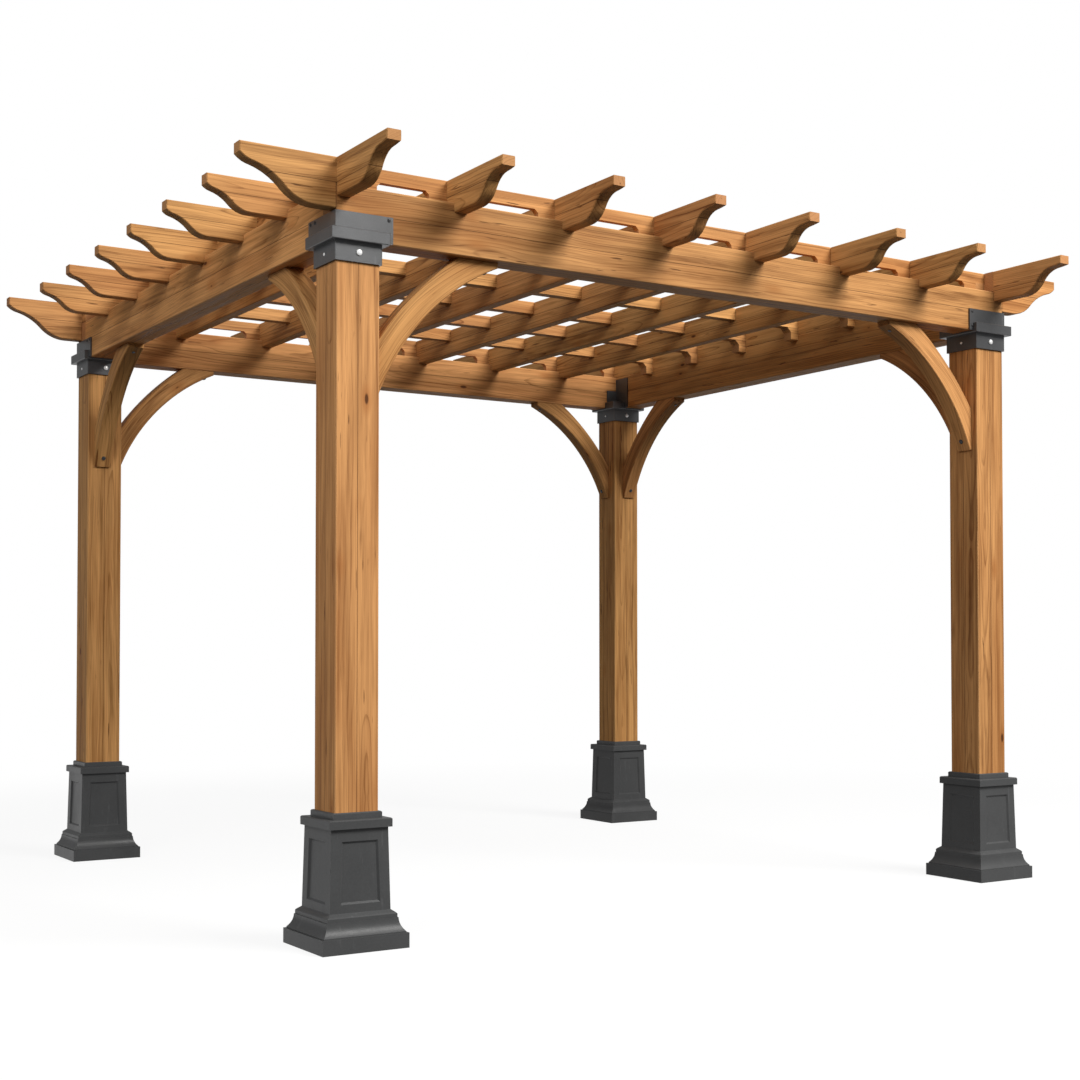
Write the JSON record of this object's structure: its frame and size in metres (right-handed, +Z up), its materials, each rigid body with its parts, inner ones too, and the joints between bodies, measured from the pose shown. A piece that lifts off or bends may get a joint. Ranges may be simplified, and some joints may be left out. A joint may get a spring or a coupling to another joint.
{
  "type": "wooden pergola",
  "caption": "Open timber pergola: four posts in moulded dark bases, a ring of beams in steel brackets, curved knee braces and a crossed roof of members with ogee tails.",
  "frame": {"origin": "on the ground under the middle of the roof", "axes": "+X along the front to the right, +Y from the front to the back, +Z up"},
  "size_m": [3.396, 3.146, 2.301],
  "materials": {
    "timber": "oiled cedar-tone softwood with fine straight grain and small dark knots",
    "bracket_finish": "dark charcoal satin powder coat",
    "base_finish": "matt charcoal moulded composite"
  },
  "bodies": {
    "root": {"base_back_left": "base_finish", "base_back_right": "base_finish", "base_front_left": "base_finish", "base_front_right": "base_finish", "beam_back": "timber", "beam_front": "timber", "beam_left": "timber", "beam_right": "timber", "brace_back_left_along_back": "timber", "brace_back_left_along_left": "timber", "brace_back_right_along_back": "timber", "brace_back_right_along_right": "timber", "brace_front_left_along_front": "timber", "brace_front_left_along_left": "timber", "brace_front_right_along_front": "timber", "brace_front_right_along_right": "timber", "bracket_back_left": "bracket_finish", "bracket_back_right": "bracket_finish", "bracket_front_left": "bracket_finish", "bracket_front_right": "bracket_finish", "corner_tails_back_left": "timber", "corner_tails_back_right": "timber", "corner_tails_front_left": "timber", "corner_tails_front_right": "timber", "post_back_left": "timber", "post_back_right": "timber", "post_front_left": "timber", "post_front_right": "timber", "purlin_1": "timber", "purlin_2": "timber", "purlin_3": "timber", "purlin_4": "timber", "purlin_5": "timber", "purlin_6": "timber", "rafter_1": "timber", "rafter_2": "timber", "rafter_3": "timber", "rafter_4": "timber", "rafter_5": "timber", "rafter_6": "timber", "rail_back": "timber", "rail_front": "timber", "rail_left": "timber", "rail_right": "timber"}
  },
  "joints": []
}
